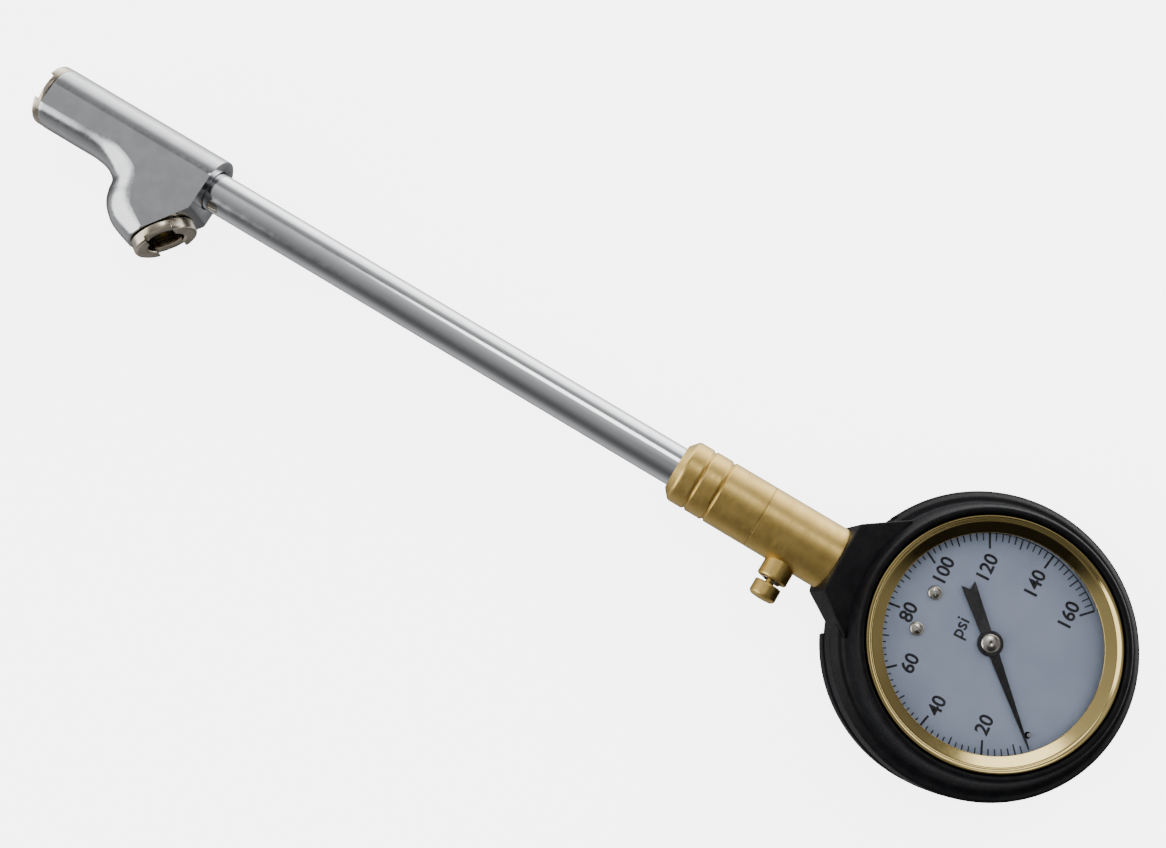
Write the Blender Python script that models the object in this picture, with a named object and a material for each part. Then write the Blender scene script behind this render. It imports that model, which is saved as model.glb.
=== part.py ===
"""Dial tyre pressure gauge on a long stem, with a dual-foot air chuck at the far end.

Every piece is its own object. Positions are millimetres in the gauge's own frame, which an empty
carries: its origin is the middle of the bezel's front rim, +X runs from the chuck to the dial along
the stem, and +Z comes out of the dial. The empty stands so that the boot's back lies on Z = 0.
"""

import math

import bmesh
import bpy
from mathutils import Matrix, Vector

MM = 0.001

# Driving dimensions, in millimetres.
BEZEL_R = 27.5
BEZEL_INNER_R = 23.7
BOOT_R = 33.9
BOOT_BACK_R = 33.5
BOOT_DEPTH = 30.4
STEM_DROP = 16.4
TUBE_R = 4.75
BRASS_R = 7.6
BARREL_R = 7.67
CHUCK_FRONT_X = -247.6
CHUCK_BACK_X = -204.0
FRONT_RING = 2.6
FOOT_RING = 3.1
FOOT_ANGLE = math.radians(-35)
FOOT_FACE = (-209.0, -14.6)
BLEED_X = -46.6
DIAL_TOP = -5.1
POINTER_ANGLE = math.radians(319.2)

GAP = 0.3
PINION_TEETH = 10
SECTOR_TEETH = 100
GEAR_MODULE = 0.24
POINTER_SWEEP = math.radians(271.0)
LINK_DIRECTION = math.radians(110.0)
LEVER = 5.0

# Levels and radii that several pieces share.
SHEET = 0.7
CASE_R = 26.2
CASE_BACK = -27.9
SPRING_WIRE = 0.5
BOTTOM_PLATE = (-13.0, -12.2)
TOP_PLATE = (-8.4, -7.6)
SECTOR_LEVEL = (-11.6, -10.8)
LINK_LEVEL = (-10.4, -9.8)
BOURDON_R = 19.5
BOURDON_START = math.radians(204.0)
BOURDON_END = math.radians(470.0)

SECTOR_SWEEP = POINTER_SWEEP * PINION_TEETH / SECTOR_TEETH
PINION_R = GEAR_MODULE * PINION_TEETH / 2
SECTOR_R = GEAR_MODULE * SECTOR_TEETH / 2
PILLARS = ((-10.5, -4.5), (9.5, 2.5), (2.5, -9.0))
DIAL_SCREWS = ((-15.4, 3.5), (-15.0, -5.3))
STOP_PIN = (16.34, -12.79)


def clear_scene():
    for obj in list(bpy.data.objects):
        bpy.data.objects.remove(obj, do_unlink=True)


def material(name, colour, roughness, metallic, alpha=1.0):
    mat = bpy.data.materials.new(name)
    mat.use_nodes = True
    shader = mat.node_tree.nodes["Principled BSDF"]
    shader.inputs["Base Color"].default_value = (*colour, 1.0)
    shader.inputs["Roughness"].default_value = roughness
    shader.inputs["Metallic"].default_value = metallic
    shader.inputs["Alpha"].default_value = alpha
    return mat


def axis_frame(point, axis=(0, 0, 1), spin=0.0):
    """A frame at a point in millimetres whose local Z runs along axis; a level axis has X upright."""
    along = Vector(axis).normalized()
    side = Vector((1, 0, 0)) if abs(along.z) > 0.9 else Vector((0, 0, 1))
    turn = Matrix((side, along.cross(side), along)).transposed().to_4x4()
    return Matrix.Translation(Vector(point) * MM) @ turn @ Matrix.Rotation(spin, 4, "Z")


def solid(name, bm, mat, frame=None, is_cutter=False):
    """One object from a closed mesh in millimetres, placed in the gauge's frame."""
    bmesh.ops.scale(bm, vec=(MM, MM, MM), verts=bm.verts)
    bmesh.ops.recalc_face_normals(bm, faces=bm.faces)
    mesh = bpy.data.meshes.new(name)
    bm.to_mesh(mesh)
    bm.free()
    mesh.shade_smooth()
    mesh.set_sharp_from_angle(angle=math.radians(35))
    mesh.materials.append(mat)
    obj = bpy.data.objects.new(name, mesh)
    bpy.context.scene.collection.objects.link(obj)
    obj.parent = GAUGE
    obj.matrix_basis = frame or Matrix.Identity(4)
    if is_cutter:
        obj.hide_render = True
        obj.display_type = "WIRE"
    return obj


def boolean(target, tools, operation="DIFFERENCE"):
    for tool in tools:
        modifier = target.modifiers.new(tool.name, "BOOLEAN")
        modifier.object = tool
        modifier.operation = operation
        modifier.solver = "EXACT"
        tool.hide_render = True
        tool.display_type = "WIRE"
    return target


def turned(profile, segments=32):
    """A closed (radius, height) outline turned about local Z; radius 0 closes on the axis."""
    bm = bmesh.new()
    rings = []
    for radius, height in profile:
        if radius == 0:
            rings.append([bm.verts.new((0, 0, height))])
            continue
        angles = (2 * math.pi * i / segments for i in range(segments))
        rings.append([bm.verts.new((radius * math.cos(a), radius * math.sin(a), height)) for a in angles])
    for ring, following in zip(rings, rings[1:] + rings[:1]):
        if len(ring) == 1 and len(following) == 1:
            continue
        for i in range(segments):
            j = (i + 1) % segments
            corners = [ring[i % len(ring)], ring[j % len(ring)]]
            corners += [following[j % len(following)], following[i % len(following)]]
            bm.faces.new(list(dict.fromkeys(corners)))
    return bm


def disc(radius, low, high, segments=24):
    return turned([(0, low), (radius, low), (radius, high), (0, high)], segments)


def washer(inner, outer, low, high, segments=32):
    return turned([(inner, low), (outer, low), (outer, high), (inner, high)], segments)


def extruded(outline, low, high):
    bm = bmesh.new()
    lower = [bm.verts.new((x, y, low)) for x, y in outline]
    upper = [bm.verts.new((x, y, high)) for x, y in outline]
    bm.faces.new(lower)
    bm.faces.new(upper)
    for i, corner in enumerate(lower):
        j = (i + 1) % len(lower)
        bm.faces.new((corner, lower[j], upper[j], upper[i]))
    return bm


def swept(rings):
    """A tube through rings of points, closed at both ends."""
    bm = bmesh.new()
    made = [[bm.verts.new(point) for point in ring] for ring in rings]
    for ring, following in zip(made, made[1:]):
        for i, corner in enumerate(ring):
            j = (i + 1) % len(ring)
            bm.faces.new((corner, ring[j], following[j], following[i]))
    bm.faces.new(made[0])
    bm.faces.new(made[-1])
    return bm


def arc(centre, radius, start, end, count):
    step = (end - start) / (count - 1)
    return [
        (centre[0] + radius * math.cos(start + step * i), centre[1] + radius * math.sin(start + step * i))
        for i in range(count)
    ]


def hull(circles, count=20):
    """The convex outline round circles given as (x, y, radius)."""
    points = []
    for x, y, radius in circles:
        points += arc((x, y), radius, 0, 2 * math.pi * (1 - 1 / count), count)
    points.sort()
    chains = []
    for ordered in (points, points[::-1]):
        chain = []
        for point in ordered:
            while len(chain) > 1 and turn_of(chain[-2], chain[-1], point) <= 1e-9:
                chain.pop()
            chain.append(point)
        chains.append(chain[:-1])
    return chains[0] + chains[1]


def turn_of(a, b, c):
    return (b[0] - a[0]) * (c[1] - a[1]) - (b[1] - a[1]) * (c[0] - a[0])


def coil(radius, length, turns, wire=SPRING_WIRE, per_turn=10, sides=5):
    """A compression spring along local Z from height 0."""
    rings = []
    count = int(turns * per_turn)
    rise = (length - 2 * wire) / count
    for i in range(count + 1):
        angle = 2 * math.pi * i / per_turn
        ring = []
        for k in range(sides):
            around = 2 * math.pi * k / sides
            out = radius + wire * math.cos(around) / 2
            height = wire + rise * i + wire * math.sin(around) / 2
            ring.append((out * math.cos(angle), out * math.sin(angle), height))
        rings.append(ring)
    return swept(rings)


def gear_points(radius, teeth, phase, first, count):
    """Tooth points of an external gear: each tooth has its root, flank and tip corners."""
    pitch = 2 * math.pi / teeth
    shape = ((-0.29, -1.2), (-0.21, 0.0), (-0.1, 0.75), (0.1, 0.75), (0.21, 0.0), (0.29, -1.2))
    points = []
    for tooth in range(first, first + count):
        for part, height in shape:
            angle = phase + (tooth + part) * pitch
            reach = radius + height * GEAR_MODULE
            points.append((reach * math.cos(angle), reach * math.sin(angle)))
    return points


def sector_centre():
    """The sector's staff, where its pitch circle meets the pinion's and the link lines up."""
    return (-9.6, 9.04)


# ---- the chuck ----

def chuck_rows(steps):
    """Rows round the casting as (edge x, edge y, crease x, crease y).

    The edge is its outline at mid thickness, and the crease is where the flat faces begin. The
    barrel runs along the top. The neck curves down from it to the foot, whose end face is square
    to the foot's axis.
    """
    along = Vector((math.cos(FOOT_ANGLE), math.sin(FOOT_ANGLE)))
    across = Vector((-along.y, along.x))
    foot = Vector(FOOT_FACE)
    heel = foot - across * 8.2
    heel_crease = foot - across * 2.9
    corner_y = foot.y + (CHUCK_BACK_X - foot.x) * across.y / across.x
    neck = [
        (-243.0, -BARREL_R, -243.0, -3.8), (-237.5, -BARREL_R, -237.5, -3.7),
        (-233.0, -7.7, -232.5, -3.3), (-229.3, -8.2, -227.5, -3.2), (-226.8, -9.3, -223.2, -4.3),
        (-225.3, -10.8, -220.2, -5.8), (-224.9, -13.0, -218.2, -8.6), (-223.9, -15.4, -217.3, -11.4),
        (-221.9, -17.7, -216.2, -13.4), (-219.0, -19.6, -213.9, -15.0), (*heel, *heel_crease),
    ]
    smooth = catmull([Vector(row) for row in neck + [neck[-1]]], steps)
    rows = [Vector((CHUCK_FRONT_X, -BARREL_R, CHUCK_FRONT_X, -3.9))] + smooth
    rows.append(Vector((CHUCK_BACK_X, corner_y, CHUCK_BACK_X, corner_y)))
    rows.append(Vector((CHUCK_BACK_X, BARREL_R, CHUCK_BACK_X, 1.5)))
    rows.append(Vector((CHUCK_FRONT_X, BARREL_R, CHUCK_FRONT_X, 1.5)))
    return rows


def catmull(points, steps):
    """Points on a smooth curve through all but the first and last of points."""
    out = []
    for a, b, c, d in zip(points, points[1:], points[2:], points[3:]):
        for i in range(steps):
            t = i / steps
            out.append(
                0.5 * (2 * b + (c - a) * t + (2 * a - 5 * b + 4 * c - d) * t ** 2
                       + (3 * b - a - 3 * c + d) * t ** 3)
            )
    out.append(points[-2])
    return out


def chuck_body(mat):
    levels = 5
    limit = math.radians(78)
    bm = bmesh.new()
    loops = []
    for level in range(-levels, levels + 1):
        part = limit * level / levels
        share = (1 - math.cos(part)) / (1 - math.cos(limit))
        height = BARREL_R * math.sin(part) / math.sin(limit)
        loop = []
        for x, y, crease_x, crease_y in chuck_rows(2):
            loop.append(bm.verts.new((x + (crease_x - x) * share, y + (crease_y - y) * share, height)))
        loops.append(loop)
    for loop, following in zip(loops, loops[1:]):
        for i, corner in enumerate(loop):
            j = (i + 1) % len(loop)
            bm.faces.new((corner, loop[j], following[j], following[i]))
    bm.faces.new(loops[0])
    bm.faces.new(loops[-1])
    body = solid("chuck_body", bm, mat, axis_frame((0, 0, -STEM_DROP)))
    along = (1, 0, 0)
    cutters = [
        mouth_bore("front_mouth_cut", front_frame(), mat),
        mouth_bore("foot_mouth_cut", foot_frame(), mat),
        solid("air_way_cut", disc(2.3, 0, 30), mat, axis_frame((-238, 0, -STEM_DROP), along), True),
        solid("tube_socket_cut", disc(TUBE_R + GAP, 0, 12, 32), mat,
              axis_frame((CHUCK_BACK_X - 10, 0, -STEM_DROP), along), True),
        solid("foot_way_cut", disc(1.8, 0, 12), mat, axis_frame((-217.5, -12, -STEM_DROP), (0, 1, 0)), True),
    ]
    return boolean(body, cutters)


def front_frame():
    """Local Z runs into the chuck from the plane that the front ring is screwed against."""
    return axis_frame((CHUCK_FRONT_X, 0, -STEM_DROP), (1, 0, 0))


def foot_frame():
    inward = (-math.cos(FOOT_ANGLE), -math.sin(FOOT_ANGLE), 0)
    return axis_frame((*FOOT_FACE, -STEM_DROP), inward)


def mouth_bore(name, frame, mat):
    profile = [(0, -3), (5.8, -3), (5.8, 6.4), (4.4, 6.4), (4.4, 13.0), (0, 13.0)]
    return solid(name, turned(profile, 24), mat, frame, True)


def mouth_pieces(prefix, frame, face, mats):
    """The slotted ring, rubber seal, valve pin and spring that fill one mouth of the chuck."""
    ring = [
        (4.4, -face), (7.1, -face), (7.6, -face + 0.5), (7.6, -0.3), (5.5, -0.3),
        (5.5, 3.6), (4.7, 3.6), (4.7, 0.4), (4.4, 0.0),
    ]
    retainer = solid(prefix + "_retainer", turned(ring, 28), mats["nickel"], frame)
    slot = extruded([(-9, -3.3), (9, -3.3), (9, 3.3), (-9, 3.3)], -face - 1, -face + 1.2)
    boolean(retainer, [solid(prefix + "_slot_cut", slot, mats["nickel"], frame, True)])
    solid(prefix + "_seal", washer(2.3, 5.5, 3.9, 6.1, 20), mats["rubber"], frame)
    pin = [
        (0, 2.5), (0.9, 2.5), (1.2, 2.8), (1.2, 6.7), (4.0, 6.7), (4.0, 7.7), (1.2, 7.7), (1.2, 11.0),
        (0, 11.0),
    ]
    solid(prefix + "_valve_pin", turned(pin, 14), mats["brass"], frame)
    lifted = frame @ Matrix.Translation((0, 0, 7.9 * MM))
    solid(prefix + "_spring", coil(3.1, 4.9, 3.5), mats["steel"], lifted)


# ---- the stem ----

def stem_pieces(mats):
    along = (1, 0, 0)
    start = axis_frame((0, 0, -STEM_DROP), along)
    tube = washer(3.1, TUBE_R, CHUCK_BACK_X - 9.7, -66.3, 32)
    solid("extension_tube", tube, mats["chrome"], start)

    end, joint = -77.7, -55.9
    outer = [(5.05, end), (5.5, end), (BRASS_R, end + 1.8)]
    for groove in (-71.8, -66.9):
        outer += [(BRASS_R, groove - 0.4), (BRASS_R - 0.4, groove), (BRASS_R, groove + 0.4)]
    outer += [(BRASS_R, joint), (5.5, joint), (5.5, -62.4), (3.0, -62.4), (3.0, -66.0), (5.05, -66.0)]
    solid("tube_coupling", turned(outer, 28), mats["brass"], start)
    solid("coupling_oring", turned([(3.3 + 0.7 * math.cos(a), -61.4 + 0.7 * math.sin(a))
                                    for a in (math.pi * k / 3 for k in range(6))], 20), mats["rubber"], start)

    body = [
        (2.7, -60.4), (5.1, -60.4), (5.1, joint + 0.3), (BRASS_R, joint + 0.3), (BRASS_R, -29.2),
        (5.3, -29.2), (5.3, -40.5), (3.2, -40.5), (3.2, -58.0), (2.7, -58.0),
    ]
    valve = solid("bleed_valve_body", turned(body, 28), mats["brass"], start)
    boss = solid("bleed_boss", turned([(0, 4.0), (3.6, 4.0), (3.6, 10.8), (3.2, 11.2), (0, 11.2)], 24),
                 mats["brass"], bleed_frame())
    bore_rows = [(0, 1.0), (1.4, 1.0), (1.4, 5.0), (2.3, 5.0), (2.3, 13), (0, 13)]
    bore = solid("bleed_bore_cut", turned(bore_rows, 20), mats["brass"], bleed_frame(), True)
    way = solid("bleed_way_cut", disc(3.2, -57.9, -40.6, 24), mats["brass"], start, True)
    boolean(valve, [boss], "UNION")
    boolean(valve, [way, bore])


def bleed_frame():
    """Local Z runs out of the side of the stem, the way the bleed button stands."""
    return axis_frame((BLEED_X, 0, -STEM_DROP), (0, -1, 0))


def bleed_pieces(mats):
    frame = bleed_frame()
    button = [
        (0, 2.5), (1.0, 2.5), (1.0, 12.3), (2.9, 12.3), (3.2, 12.6), (3.2, 15.2), (2.6, 15.9), (0, 15.9),
    ]
    solid("bleed_button", turned(button, 20), mats["brass"], frame)
    solid("bleed_seal", disc(1.9, 1.3, 2.3, 20), mats["rubber"], frame)
    spring = frame @ Matrix.Translation((0, 0, 5.1 * MM))
    solid("bleed_spring", coil(1.75, 7.1, 6), mats["steel"], spring)


# ---- the gauge head ----

def case_pieces(mats):
    bezel = [
        (26.6, -5.6), (27.3, -5.6), (27.3, -1.2), (BEZEL_R, -0.9), (BEZEL_R, -0.3), (27.2, 0.0),
        (26.7, -0.1), (26.3, -0.6), (24.4, -1.5), (BEZEL_INNER_R, -1.6), (BEZEL_INNER_R, -1.9), (26.6, -1.9),
    ]
    solid("bezel", turned(bezel, 48), mats["gold"])
    solid("lens", disc(26.3, -3.2, -2.1, 48), mats["clear"])
    solid("lens_gasket", washer(25.1, 26.2, -4.0, -3.4, 40), mats["rubber"])
    cup = [
        (0, CASE_BACK), (CASE_R - 1.2, CASE_BACK), (CASE_R, CASE_BACK + 1.2), (CASE_R, -4.2),
        (CASE_R - SHEET, -4.2), (CASE_R - SHEET, CASE_BACK + 1.4), (CASE_R - 1.5, CASE_BACK + SHEET),
        (0, CASE_BACK + SHEET),
    ]
    case = solid("case", turned(cup, 40), mats["case"])
    stem = axis_frame((0, 0, -STEM_DROP), (1, 0, 0))
    hole = solid("case_stem_cut", disc(5.7, -30, -20), mats["case"], stem, True)
    boolean(case, [hole])

    dial = solid("dial", disc(25.0, DIAL_TOP - 0.5, DIAL_TOP, 40), mats["dial"])
    holes = [(0, 0, 1.7), (*DIAL_SCREWS[0], 1.2), (*DIAL_SCREWS[1], 1.2), (*STOP_PIN, 0.75)]
    cutters = [
        solid(f"dial_cut_{i}", disc(radius, -8, -3, 16), mats["dial"], axis_frame((x, y, 0)), True)
        for i, (x, y, radius) in enumerate(holes)
    ]
    boolean(dial, cutters)
    head = [(0, -10.0), (0.9, -10.0), (0.9, -5.05), (1.6, -5.05), (1.6, -4.8), (1.1, -4.45), (0, -4.35)]
    for i, (x, y) in enumerate(DIAL_SCREWS):
        solid(f"dial_screw_{i + 1}", turned(head, 16), mats["nickel"], axis_frame((x, y, 0)))
    solid("stop_pin", disc(0.45, -7.0, -3.9, 12), mats["steel"], axis_frame((*STOP_PIN, 0)))


def boot(mat):
    ring = [
        (0, -BOOT_DEPTH + 0.8), (20, -BOOT_DEPTH + 0.8), (21, -BOOT_DEPTH), (32.6, -BOOT_DEPTH),
        (BOOT_BACK_R, -29.4), (BOOT_R - 0.1, -22.6), (32.6, -22.4), (32.6, -17.6), (BOOT_R, -17.4),
        (BOOT_R, -9.6), (33.3, -9.4), (32.4, -8.0), (31.2, -7.8), (30.7, -6.8), (29.5, -0.4), (28.9, 0.3),
        (28.1, 0.3), (27.8, -0.3), (27.8, -6.0), (26.5, -6.0), (26.5, -28.2), (0, -28.2),
    ]
    body = solid("rubber_boot", turned(ring, 48), mat)
    slope = math.tan(math.radians(35.8))
    half, end, root = 8.45, -36.4, -27.0
    wide = half + slope * (root - end)
    low, high = -26.6, -6.0
    block = bmesh.new()
    section = [(half, high), (half, -20.5), (4.4, low), (-4.4, low), (-half, -20.5), (-half, high)]
    spread = wide / half
    near = [block.verts.new((end - 0.1 * (high - z), y, z)) for y, z in section]
    far = [block.verts.new((root, y * spread, z)) for y, z in section]
    block.faces.new(near)
    block.faces.new(far)
    for i, corner in enumerate(near):
        j = (i + 1) % len(near)
        block.faces.new((corner, near[j], far[j], far[i]))
    neck = solid("boot_neck", block, mat)
    stem = axis_frame((0, 0, -STEM_DROP), (1, 0, 0))
    bore = solid("boot_stem_cut", disc(BRASS_R + GAP, -45, -20, 28), mat, stem, True)
    room = solid("boot_case_cut", disc(26.5, -28.2, -6.0, 48), mat, None, True)
    rim_room = solid("boot_bezel_cut", disc(27.8, -6.1, 2.0, 48), mat, None, True)
    boolean(body, [neck], "UNION")
    boolean(body, [bore, room, rim_room])


def socket(mat):
    """The block that the stem screws on to and that carries the pressure tube and the movement."""
    shank = [
        (0, -40.0), (4.5, -40.0), (4.9, -39.5), (4.9, -28.9), (6.6, -28.9), (6.6, -27.0), (5.2, -27.0),
        (5.2, -20.0), (0, -20.0),
    ]
    body = solid("stem_socket", turned(shank, 20), mat, axis_frame((0, 0, -STEM_DROP), (1, 0, 0)))
    block = solid("socket_block", extruded([(-23.6, -7.0), (-8.0, -7.0), (-8.0, 6.0), (-23.6, 6.0)],
                                           -21.4, BOTTOM_PLATE[0] - GAP), mat)
    posts = [
        solid(f"dial_post_{i + 1}", disc(2.0, -14, DIAL_TOP - 0.8, 20), mat, axis_frame((x, y, 0)))
        for i, (x, y) in enumerate(DIAL_SCREWS)
    ]
    cuts = [
        solid(f"post_cut_{i + 1}", disc(1.2, -10.6, -4, 16), mat, axis_frame((x, y, 0)), True)
        for i, (x, y) in enumerate(DIAL_SCREWS)
    ]
    pillar = axis_frame((*PILLARS[0], 0))
    cuts.append(solid("pillar_screw_cut", disc(0.9, -16.6, -12, 14), mat, pillar, True))
    stem = axis_frame((0, 0, -STEM_DROP), (1, 0, 0))
    cuts.append(solid("socket_way_cut", disc(1.5, -41, -13, 16), mat, stem, True))
    boolean(body, [block, *posts], "UNION")
    boolean(body, cuts)


def bourdon(mat):
    """The C-shaped flattened pressure tube, from the socket round to its free end."""
    count = 31
    rings = []
    for i in range(count):
        angle = BOURDON_START + (BOURDON_END - BOURDON_START) * i / (count - 1)
        ring = []
        for k in range(8):
            around = 2 * math.pi * k / 8
            reach = BOURDON_R + 0.95 * math.cos(around)
            height = -STEM_DROP + 3.2 * math.sin(around)
            ring.append((reach * math.cos(angle), reach * math.sin(angle), height))
        rings.append(ring)
    solid("bourdon_tube", swept(rings), mat)


def tip_point():
    """Where the link hangs on the pressure tube's free end."""
    reach, angle = 17.6, math.radians(113.0)
    return (reach * math.cos(angle), reach * math.sin(angle))


def lever_pin(turn):
    """The sector's lever pin when the sector has turned by an angle from the middle of its swing."""
    x, y = sector_centre()
    angle = LINK_DIRECTION - math.pi / 2 + turn
    return (x + LEVER * math.cos(angle), y + LEVER * math.sin(angle))


def tip_and_link(mats):
    start, end = BOURDON_END - 2 * math.pi + math.radians(1.0), math.radians(119.0)
    pad = arc((0, 0), BOURDON_R - 2.9, start, end, 4) + arc((0, 0), BOURDON_R + 1.0, end, start, 4)
    tip = solid("tube_tip", extruded(pad, -18.6, -14.2), mats["brass"])
    x, y = tip_point()
    stud = solid("tip_stud", disc(0.6, -15, LINK_LEVEL[1] + 0.5, 12), mats["brass"], axis_frame((x, y, 0)))
    boolean(tip, [stud], "UNION")

    pin = lever_pin(-SECTOR_SWEEP / 2)
    bar = hull([(x, y, 1.9), (*pin, 1.9)], 16)
    link = solid("movement_link", extruded(bar, *LINK_LEVEL), mats["brass"])
    holes = [
        solid(f"link_cut_{i}", disc(1.0, -12, -8, 16), mats["brass"], axis_frame((*place, 0)), True)
        for i, place in enumerate(((x, y), pin))
    ]
    boolean(link, holes)


def sector(mat):
    """The toothed sector, its staff and its lever, about the staff at local zero."""
    centre = sector_centre()
    toward = math.atan2(-centre[1], -centre[0])
    pitch = 2 * math.pi / SECTOR_TEETH
    first = -int(math.ceil((SECTOR_SWEEP + math.radians(6)) / pitch))
    count = -first + int(math.ceil(math.radians(6) / pitch))
    teeth = gear_points(SECTOR_R, SECTOR_TEETH, toward + pitch / 2, first, count)
    hub = 2.2
    start = math.atan2(teeth[0][1], teeth[0][0])
    stop = math.atan2(teeth[-1][1], teeth[-1][0])
    lever = LINK_DIRECTION - math.pi / 2 - SECTOR_SWEEP / 2
    outline = arc((0, 0), hub, lever + 0.6 - 2 * math.pi, start, 14) + teeth
    outline += arc((0, 0), hub, stop, lever - 0.6, 6)
    end = (LEVER * math.cos(lever), LEVER * math.sin(lever))
    outline += arc(end, 1.1, lever - math.pi / 2, lever + math.pi / 2, 8)
    body = solid("sector_gear", extruded(outline, *SECTOR_LEVEL), mat, axis_frame((*centre, 0)))
    staff = solid("sector_staff", disc(0.7, BOTTOM_PLATE[0], TOP_PLATE[1], 14), mat, axis_frame((*centre, 0)))
    place = axis_frame((*lever_pin(-SECTOR_SWEEP / 2), 0))
    pin = solid("lever_pin", disc(0.5, SECTOR_LEVEL[0] - 0.2, LINK_LEVEL[1] + 0.4, 12), mat, place)
    boolean(body, [staff, pin], "UNION")


def arbor(mat):
    """The pinion on its arbor, which carries the pointer."""
    centre = sector_centre()
    phase = math.atan2(centre[1], centre[0])
    teeth = gear_points(PINION_R, PINION_TEETH, phase, 0, PINION_TEETH)
    body = solid("pinion_arbor", extruded(teeth, -12.0, -10.4), mat)
    shaft = [
        (0, -12.9), (0.5, -12.9), (0.5, -11.9), (0.8, -11.9), (0.8, -9.8), (1.1, -9.8), (1.1, -8.9),
        (0.6, -8.9), (0.6, -4.15), (0, -4.15),
    ]
    boolean(body, [solid("arbor_shaft", turned(shaft, 16), mat)], "UNION")


def hairspring(mat):
    turns, per_turn = 3.5, 14
    inner, outer, thick = 1.9, 5.2, 0.16
    count = int(turns * per_turn)
    rings = []
    for i in range(count + 1):
        angle = 2 * math.pi * i / per_turn
        reach = inner + (outer - inner) * i / count
        ring = []
        for side, height in ((-thick, -9.6), (thick, -9.6), (thick, -9.1), (-thick, -9.1)):
            ring.append(((reach + side / 2) * math.cos(angle), (reach + side / 2) * math.sin(angle), height))
        rings.append(ring)
    solid("hairspring", swept(rings), mat)


def movement_plates(mats):
    centre = sector_centre()
    rounds = [(0, 0, 6.0), (*centre, 2.6)] + [(*place, 2.2) for place in PILLARS]
    outline = hull(rounds)
    pivots = [(0, 0, 0.8), (*centre, 1.0)]
    for name, level in (("bottom_plate", BOTTOM_PLATE), ("top_plate", TOP_PLATE)):
        plate = solid(name, extruded(outline, *level), mats["brass"])
        holes = pivots + [(*place, 0.85) for place in PILLARS]
        cutters = [
            solid(f"{name}_cut_{i}", disc(radius, -15, -6, 14), mats["brass"], axis_frame((x, y, 0)), True)
            for i, (x, y, radius) in enumerate(holes)
        ]
        boolean(plate, cutters)
    for i, (x, y) in enumerate(PILLARS):
        low, high = BOTTOM_PLATE[1] + 0.1, TOP_PLATE[0] - 0.1
        solid(f"pillar_{i + 1}", washer(0.85, 1.6, low, high, 14), mats["brass"], axis_frame((x, y, 0)))
        reach = -16.0 if i == 0 else BOTTOM_PLATE[0]
        head = TOP_PLATE[1] + 0.1
        screw = [(0, reach), (0.55, reach), (0.55, head), (1.3, head), (1.3, head + 0.7), (0, head + 0.7)]
        solid(f"movement_screw_{i + 1}", turned(screw, 14), mats["steel"], axis_frame((x, y, 0)))
    solid("hairspring_peg", disc(0.4, -9.9, TOP_PLATE[0] - 0.1, 10), mats["brass"], axis_frame((-5.9, 0, 0)))


def pointer(mats):
    tip, tail, notch = 23.6, -13.6, 1.3
    outline = [(tip, 0.0), (2.6, 1.25)]
    outline += arc((0, 0), 2.8, math.radians(26), math.radians(155), 10)
    outline += [(tail, 1.6), (tail + notch, 0.0), (tail, -1.6)]
    outline += arc((0, 0), 2.8, math.radians(205), math.radians(334), 10)
    outline += [(2.6, -1.25)]
    frame = axis_frame((0, 0, 0), (0, 0, 1), POINTER_ANGLE)
    blade = solid("pointer", extruded(outline, -4.6, -4.35), mats["black"], frame)
    hub = solid("pointer_hub", disc(2.8, -4.6, -4.0, 28), mats["black"], frame)
    hole = solid("pointer_cut", disc(0.9, -5, -3, 14), mats["black"], frame, True)
    boolean(blade, [hub], "UNION")
    boolean(blade, [hole])
    solid("pointer_cap", turned([(0, -3.9), (2.0, -3.9), (1.9, -3.65), (1.2, -3.5), (0, -3.45)], 24),
          mats["nickel"], frame)


def main():
    mats = {
        "chrome": material("chrome", (0.62, 0.63, 0.66), 0.12, 1.0),
        "nickel": material("nickel", (0.50, 0.47, 0.42), 0.28, 1.0),
        "steel": material("steel", (0.55, 0.56, 0.58), 0.3, 1.0),
        "brass": material("brass", (0.62, 0.46, 0.20), 0.32, 1.0),
        "gold": material("gold_bezel", (0.72, 0.58, 0.28), 0.14, 1.0),
        "rubber": material("rubber", (0.02, 0.02, 0.022), 0.55, 0.0),
        "case": material("case_paint", (0.03, 0.03, 0.03), 0.4, 0.0),
        "dial": material("dial_white", (0.78, 0.80, 0.85), 0.5, 0.0),
        "black": material("pointer_black", (0.02, 0.02, 0.02), 0.45, 0.0),
        "clear": material("lens_clear", (0.95, 0.97, 1.0), 0.03, 0.0, 0.2),
    }
    chuck_body(mats["chrome"])
    mouth_pieces("front", front_frame(), FRONT_RING, mats)
    mouth_pieces("foot", foot_frame(), FOOT_RING, mats)
    stem_pieces(mats)
    bleed_pieces(mats)
    case_pieces(mats)
    boot(mats["rubber"])
    socket(mats["brass"])
    bourdon(mats["brass"])
    tip_and_link(mats)
    sector(mats["brass"])
    arbor(mats["steel"])
    hairspring(mats["steel"])
    movement_plates(mats)
    pointer(mats)


clear_scene()
GAUGE = bpy.data.objects.new("gauge_frame", None)
GAUGE.location = Vector(((FRONT_RING - CHUCK_FRONT_X - BOOT_R) / 2, 0, BOOT_DEPTH)) * MM
bpy.context.scene.collection.objects.link(GAUGE)
main()
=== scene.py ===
"""Looks of the dial tyre pressure gauge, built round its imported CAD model.

Lengths are millimetres in the gauge's own frame, as in the CAD: its origin is the middle of the
bezel's front rim, +X runs from the chuck to the dial along the stem, and +Z comes out of the dial.
"""

import math

import bmesh
import bpy
from mathutils import Matrix, Vector


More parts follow.
